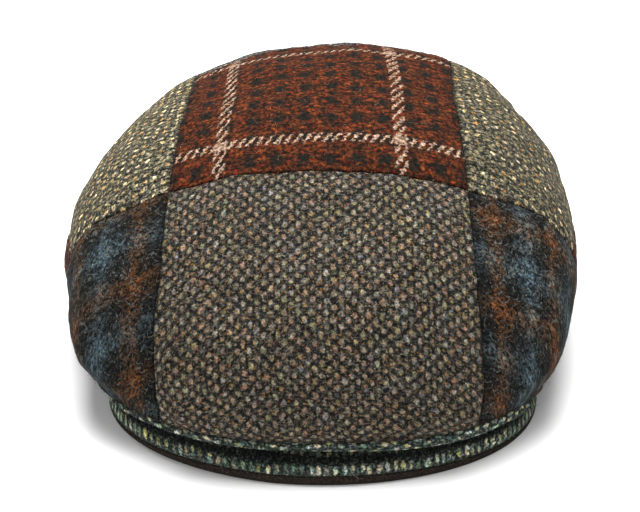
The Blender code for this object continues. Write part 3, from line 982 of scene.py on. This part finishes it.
def knotted(name, knots, yarns, grounds, gain, lowest, ragged=1.9, depth=0.75, specks=None,
            fibres=None, painted_shadow=None, cracks=0.0):
    """Columns of fuzzy knots, each of two yarns, over a dark ground of crossed flecks."""
    w = Weave(name)
    u = w.u + w.sway(1.3, seed=1.0) * ragged + w.sway(14, seed=3.0) * 3
    v = w.v + w.sway(1.3, seed=2.0) * ragged + w.sway(14, seed=4.0) * 4
    column = (u / knots.pitch).floor()
    along = v / knots.repeat + column * knots.stagger + knots.start
    row = along.floor()
    x_stray = (w.chance(column, row, seed=1.0) - 0.5) * knots.stray
    y_stray = (w.chance(column, row, seed=2.0) - 0.5) * (knots.stray * 1.4)
    x = ((u / knots.pitch).fract() - 0.5) * knots.pitch + x_stray
    y = (along.fract() - 0.5) * knots.repeat + y_stray
    size = 0.88 + w.chance(column, row, seed=3.0) * 0.24
    x_share = x / (size * knots.half_width)
    y_share = y / (size * knots.half_height)
    worn = 0.6 + w.blotches(1.2, 1.2, seed=12.0) * 0.5
    mask = (x_share * x_share + y_share * y_share).step(1.4, 0.1) * worn
    half = (x + y * 0.6 + w.sway(2.0, seed=5.0) * 2).above(0.0)
    pick = w.chance(column * 2 + half, row, seed=6.0) * 0.7 + w.chance(column, seed=8.0) * 0.3
    yarn = w.palette(pick, yarns, sharp=True)
    light = w.chance(column, row, seed=7.0).step(knots.dim, 1.0) * (1 - lowest) + lowest
    fleck = w.blotches(knots.ground_width, 1.2, seed=9.0)
    ground = w.palette(fleck * 0.6 + w.blotches(1.3, 2.6, seed=10.0) * 0.4, grounds)
    # Painted light and shade: each knot's yarn is lighter at its middle and darker towards its edge, as on a
    # rounded knot
    mixed = w.blend((mask * 1.25).at_most(1.0), ground, w.dimmed(yarn, light * (0.65 + mask * 0.5)))
    if cracks:
        between = (along.fract() - 0.5).size().step(0.38, 0.47) * (x / knots.pitch).size().step(0.5, 0.3)
        mixed = w.dimmed(mixed, 1 - between * cracks)
    cloud = w.blotches(6.5, 9.0, seed=37.0, detail=2.0)
    mixed = w.tinted(w.dimmed(mixed, 0.8 + cloud * 0.4), 5.0, seed=39.0, strength=0.35)
    colour = w.wool(mixed, depth=depth)
    if fibres:
        colour = w.strewn(colour, fibres, 1.9, seed=35.0, strength=0.4)
    if specks:
        colour = w.specked(colour, specks, 1.2, seed=31.0, strength=0.5)
    # Painted shadow: the cloth is darkened further round from its first edge, falling to 0.3 between the two
    # distances, where it lies in shade under the strip
    if painted_shadow:
        colour = w.dimmed(colour, w.v.step(*painted_shadow) * 0.7 + 0.3)
    w.finish(colour, mask * 0.6 + w.relief * 0.5, relief=0.45, gain=gain)


def rust_plaid():
    """Brushed rust cloth with ragged dark blots, and a wide overcheck of cream twill dashes."""
    w = Weave("rust_plaid")
    streak = w.blotches(5.0, 2.8, seed=5.0, detail=2.0)
    fleck = w.blotches(2.0, 2.2, seed=7.0)
    colour = w.palette(streak * 0.55 + fleck * 0.45, RUST_TONES)
    red = w.blotches(2.4, 1.7, seed=8.0).step(0.85, 1.0) * 0.75
    colour = w.blend(red, colour, tone(190, 50, 24))
    u = w.u + w.sway(2.4, seed=11.0, detail=2.0) * 6
    v = w.v + w.sway(2.4, seed=12.0, detail=2.0) * 6
    across = ((u / blot_pitch).fract() - 0.5).size().step(0.36, 0.08)
    along = ((v / blot_drop).fract() - 0.5).size().step(0.36, 0.08)
    blot = across * along * (0.6 + w.blotches(2.6, 1.8, seed=16.0) * 0.6) + across * 0.12 + along * 0.12
    colour = w.dimmed(w.blend(blot, colour, tone(44, 41, 33)), 0.7)
    phase = (w.v / dash_drop - w.u / dash_run + w.sway(1.6, seed=14.0) * 1.2).fract()
    dash = (phase - 0.5).size().step(0.27, 0.1)
    upright = beside_line(w, w.u, OVERCHECK_UPRIGHTS)
    level = beside_line(w, w.v, OVERCHECK_LEVELS)
    lines = (upright * dash).at_least(level * dash).at_least(upright * level * 0.8)
    cream = w.palette(w.blotches(0.8, 0.6, seed=15.0), CREAM_TONES)
    colour = w.wool(w.blend(lines, colour, cream), depth=0.75, hairs=0.2, grit_width=1.6)
    w.finish(colour, w.relief * 0.6 + lines * 0.3 + streak * 0.3, relief=0.45, gain=0.31, sheen=0.0)


def beside_line(w, across, lines):
    """1 within the width of either of two lines of the overcheck, with a fuzzy edge."""
    wander = w.sway(1.2, seed=13.0) * 1.6
    first, second = ((across - line + wander).size().step(line_clear, line_full) for line in lines)
    return first.at_least(second)


def blue_check(name, warp, weft, gain):
    """A blurred brushed check of blue grey and rust bands on near black."""
    w = Weave(name)
    u = w.u + w.sway(6, seed=1.0, detail=3.0) * 17
    v = w.v + w.sway(6, seed=2.0, detail=3.0) * 17
    warp_colour = w.palette(((u - warp.rust) / warp.period).fract(), CHECK_BANDS)
    weft_colour = w.palette(((v - weft.rust) / weft.period).fract(), CHECK_BANDS)
    pick = w.blotches(1.8, 1.8, seed=9.0)
    mixed = w.blend(0.15 + pick * 0.7, warp_colour, weft_colour)
    crossed = w.blend(1.0, warp_colour, weft_colour, "MULTIPLY")
    colour = w.blend(1.0, w.dimmed(mixed, 0.62), w.dimmed(crossed, 2.4), "ADD")
    clump = w.blotches(2.5, 2.5, seed=33.0, detail=2.0)
    # Painted shade: the cloth is darker within about 6 mm of its first edge, the long seam beside the middle
    # patch
    gain = w.u.step(0.5, 6.0) * (gain * 0.4) + gain * 0.6
    colour = w.wool(w.dimmed(colour, 0.15 + clump * 1.75), depth=1.0, hairs=1.0)
    colour = w.strewn(colour, LOOSE_FIBRES, 2.4, seed=41.0, strength=0.95)
    w.finish(colour, w.relief * 0.6 + clump * 0.5, relief=0.5, gain=gain, sheen=0.0)


def brown_cloth():
    """A plain dark cloth of mixed fibres in slanted fine rows."""
    w = Weave("dark_brown")
    rib = 1 - (((w.u + w.v) / rib_pitch).fract() - 0.5).size() * 2
    share = w.blotches(0.56, 0.35, seed=9.0) * 0.7 + rib * 0.2 + w.sway(3.0, seed=2.0) * 0.5
    colour = w.wool(w.palette(share, BROWN_TONES), hairs=0.3)
    w.finish(colour, rib * 0.4 + w.relief * 0.5, relief=0.15, gain=0.9)


def fuzz(name, colours):
    """Loose fibres, each of one colour."""
    w = Weave(name)
    colour = w.palette(w.chance(w.u + 0.5), colours, sharp=True)
    w.fill(w.shader, {"Base Color": colour, "Roughness": 0.8, "Specular IOR Level": 0.2})


# A check's bands, in millimetres: the place of a rust one, and how soon they repeat
Bands = namedtuple("Bands", "rust period")

# Colours as a screen shows them
RUST_TONES = [(26, 19, 14), (60, 34, 21), (108, 57, 28), (150, 76, 36), (218, 112, 52)]
CREAM_TONES = [(176, 122, 96), (222, 184, 154), (244, 222, 196)]
CHECK_BANDS = [(120, 80, 46), (100, 69, 43), (41, 40, 35), (38, 40, 38), (60, 72, 77),
               (98, 115, 122), (60, 72, 77), (38, 40, 38), (41, 40, 35), (96, 67, 43)]
LOOSE_FIBRES = [(120, 122, 116), (150, 152, 144), (104, 112, 112), (132, 126, 112)]
BARLEYCORN_YARNS = [(152, 140, 124), (134, 131, 126), (160, 146, 108), (160, 128, 100), (156, 151, 138),
                    (148, 134, 118), (143, 139, 110), (156, 127, 108), (134, 113, 95), (120, 124, 128)]
BARLEYCORN_GROUNDS = [(13, 14, 12), (28, 28, 25), (52, 50, 44), (100, 96, 86)]
BARLEYCORN_SPECKS = [(196, 122, 48), (176, 160, 60), (120, 128, 140), (186, 100, 60), (206, 190, 150)]
OLIVE_YARNS = [(228, 206, 152), (206, 184, 132), (238, 216, 168), (216, 160, 92), (178, 164, 124),
               (228, 210, 172), (198, 174, 118), (222, 182, 130)]
OLIVE_GROUNDS = [(14, 17, 17), (44, 45, 38), (96, 91, 73), (162, 151, 122)]
GREEN_YARNS = [(152, 154, 126), (130, 140, 118), (108, 126, 106), (160, 152, 122), (92, 112, 102),
               (138, 140, 128), (150, 148, 98), (146, 136, 122)]
GREEN_GROUNDS = [(12, 14, 13), (24, 28, 26), (44, 50, 46), (84, 91, 82)]
GREY_YARNS = [(150, 148, 140), (128, 127, 122), (168, 164, 150), (140, 136, 126), (116, 118, 118)]
GREY_GROUNDS = [(24, 25, 25), (44, 45, 44), (68, 68, 65), (104, 103, 98)]
BROWN_TONES = [(18, 15, 12), (34, 28, 23), (54, 44, 36)]

FUZZ_TONES = {
    "barleycorn_tweed": [(128, 122, 110), (96, 92, 84), (120, 92, 66), (54, 52, 48), (76, 74, 68)],
    "blue_check_tweed": [(92, 98, 100), (60, 68, 72), (96, 62, 40), (38, 40, 40), (70, 72, 70)],
    "rust_plaid_tweed": [(120, 60, 34), (144, 80, 52), (84, 42, 26), (60, 38, 30), (160, 120, 94)],
    "olive_tweed": [(150, 142, 112), (108, 102, 80), (170, 158, 118), (58, 58, 50), (78, 76, 60)],
    "grey_tweed": [(130, 130, 124), (90, 90, 86), (58, 58, 58)],
    "green_tweed": [(108, 116, 98), (74, 86, 72), (134, 134, 110), (42, 50, 42), (90, 94, 86)],
}

# Places and lengths on the cloth, in millimetres
blot_pitch = 11.0
blot_drop = 12.9
OVERCHECK_UPRIGHTS = [-40.0, 34.0]
OVERCHECK_LEVELS = [18.5, 107.0]
line_clear = 3.1             # how far from its middle a line of the overcheck ends
line_full = 2.2              # and how far it is full
dash_drop = 7.4
dash_run = 3.9
rib_pitch = 1.9


def make_weaves():
    barleycorn = Knots(pitch=2.65, repeat=5.2, half_width=1.08, half_height=1.4, stray=0.2,
                       stagger=0.5, ground_width=2.6)
    olive = Knots(pitch=4.8, repeat=4.6, half_width=1.2, half_height=1.15, stray=0.9,
                  stagger=0.15, ground_width=2.4, dim=0.3)
    squiggles = Knots(pitch=4.3, repeat=3.4, half_width=1.6, half_height=0.85, stray=1.0,
                      stagger=0.5, ground_width=1.6, start=0.15)
    floats = Knots(pitch=3.3, repeat=8.5, half_width=1.0, half_height=2.1, stray=0.9,
                   stagger=0.0, ground_width=1.2, start=0.2, dim=0.1)
    for slot, tones in FUZZ_TONES.items():
        fuzz("fuzz_" + slot, tones)
    knotted("barleycorn", barleycorn, BARLEYCORN_YARNS, BARLEYCORN_GROUNDS, gain=0.465, lowest=0.65,
            ragged=1.5, depth=0.7, specks=BARLEYCORN_SPECKS, fibres=LOOSE_FIBRES)
    # Painted light: one olive cloth in two copies, the left one painted lighter and with more contrast, the
    # right one darker, as if lit from the left
    knotted("olive_left", olive, OLIVE_YARNS, OLIVE_GROUNDS, gain=0.64, lowest=0.5, depth=0.9, cracks=0.8)
    knotted("olive_right", olive, OLIVE_YARNS, OLIVE_GROUNDS, gain=0.55, lowest=0.35, ragged=2.6, cracks=0.6)
    knotted("green_strip", squiggles, GREEN_YARNS, GREEN_GROUNDS, gain=1.4, lowest=0.5)
    # the peak's cover gets a painted shadow on its top, under the strip
    knotted("green_peak", floats, GREEN_YARNS, GREEN_GROUNDS, gain=1.55, lowest=0.4, painted_shadow=(6.6, 3.4))
    knotted("grey", barleycorn, GREY_YARNS, GREY_GROUNDS, gain=0.55, lowest=0.5, ragged=2.2)
    blue_check("blue_check_left", Bands(9.0, 36.0), Bands(-2.0, 38.0), gain=0.34)
    blue_check("blue_check_right", Bands(7.5, 30.0), Bands(9.0, 38.0), gain=0.41)
    rust_plaid()
    brown_cloth()


# Camera and floor
camera_distance = 0.5606
camera_rise = radians(30.615)
camera_target = Vector((-0.00027, -0.0011, 0.0268))
camera_lens = 67.76
camera_sensor = 36.0
floor_size = 14.0
floor_gap = 0.1 * MM
floor_grey = 0.8
light_target = Vector((0, 0, 0.05))
world_strength = 0.4


def add_camera():
    data = bpy.data.cameras.new("camera")
    data.lens = camera_lens
    data.sensor_width = camera_sensor
    camera = add_object("camera", data)
    back = Vector((0, -cos(camera_rise), sin(camera_rise)))
    camera.location = camera_target + back * camera_distance
    camera.rotation_euler = back.to_track_quat("Z", "Y").to_euler()
    bpy.context.scene.camera = camera


def add_floor():
    half = floor_size / 2
    corners = [(-half, -half, 0), (half, -half, 0), (half, half, 0), (-half, half, 0)]
    mesh = bpy.data.meshes.new("floor")
    mesh.from_pydata(corners, [], [(0, 1, 2, 3)])
    material = bpy.data.materials.new("floor")
    material.use_nodes = True
    inputs = material.node_tree.nodes["Principled BSDF"].inputs
    inputs["Base Color"].default_value = (floor_grey, floor_grey, floor_grey, 1)
    inputs["Roughness"].default_value = 0.7
    inputs["Specular IOR Level"].default_value = 0.1
    mesh.materials.append(material)
    floor = add_object("floor", mesh)
    floor.location.z = -floor_gap


def add_light(name, place, size, power):
    data = bpy.data.lights.new(name, "AREA")
    data.shape = "SQUARE"
    data.size = size
    data.energy = power
    light = add_object(name, data)
    light.location = place
    light.rotation_euler = (Vector(place) - light_target).to_track_quat("Z", "Y").to_euler()


def add_studio():
    """White light from all round, a soft light overhead and a weak one in front."""
    world = bpy.data.worlds.new("studio")
    world.use_nodes = True
    inputs = world.node_tree.nodes["Background"].inputs
    inputs["Color"].default_value = (1.0, 1.0, 1.0, 1)
    inputs["Strength"].default_value = world_strength
    bpy.context.scene.world = world
    add_light("overhead", place=(-0.01, 0.26, 1.08), size=0.72, power=33.5)
    add_light("front_fill", place=(-0.25, -1.15, 0.45), size=0.8, power=6.5)
    bpy.context.scene.view_settings.view_transform = "Standard"


make_weaves()
for patch in PATCHES:
    build_patch(patch)
build_strip()
build_peak()
add_floor()
add_studio()
add_camera()
